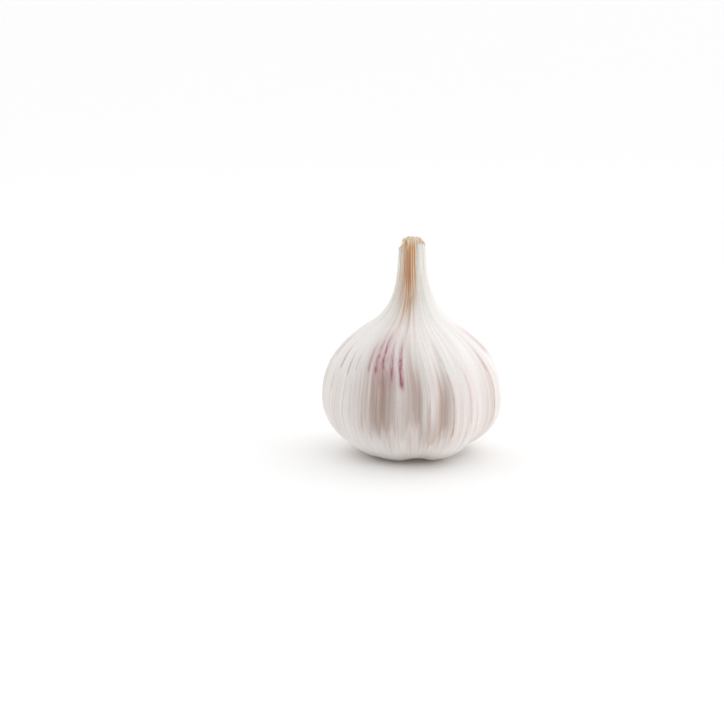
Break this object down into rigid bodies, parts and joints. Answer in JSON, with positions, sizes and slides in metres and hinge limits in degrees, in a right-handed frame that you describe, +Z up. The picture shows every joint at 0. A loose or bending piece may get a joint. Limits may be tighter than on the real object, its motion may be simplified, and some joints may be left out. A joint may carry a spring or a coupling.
{
  "type": "garlic bulb",
  "caption": "Whole dry garlic bulb in its papery white skin, lobed over the cloves, with a cut neck on top and a corky root plate that it stands on.",
  "frame": {"origin": "centre of the root plate's flat underside, on the surface that the bulb rests on", "axes": "+Z up through the neck; -Y is the side where the neck's outer sheath stands open; +X to the right of it"},
  "size_m": [0.06, 0.0594, 0.072],
  "materials": {
    "skin": "satin",
    "inner_sheath": "matte",
    "root_plate": "matte"
  },
  "bodies": {
    "root": {"bulb": "skin", "inner_sheath": "inner_sheath", "root_plate": "root_plate"}
  },
  "joints": []
}
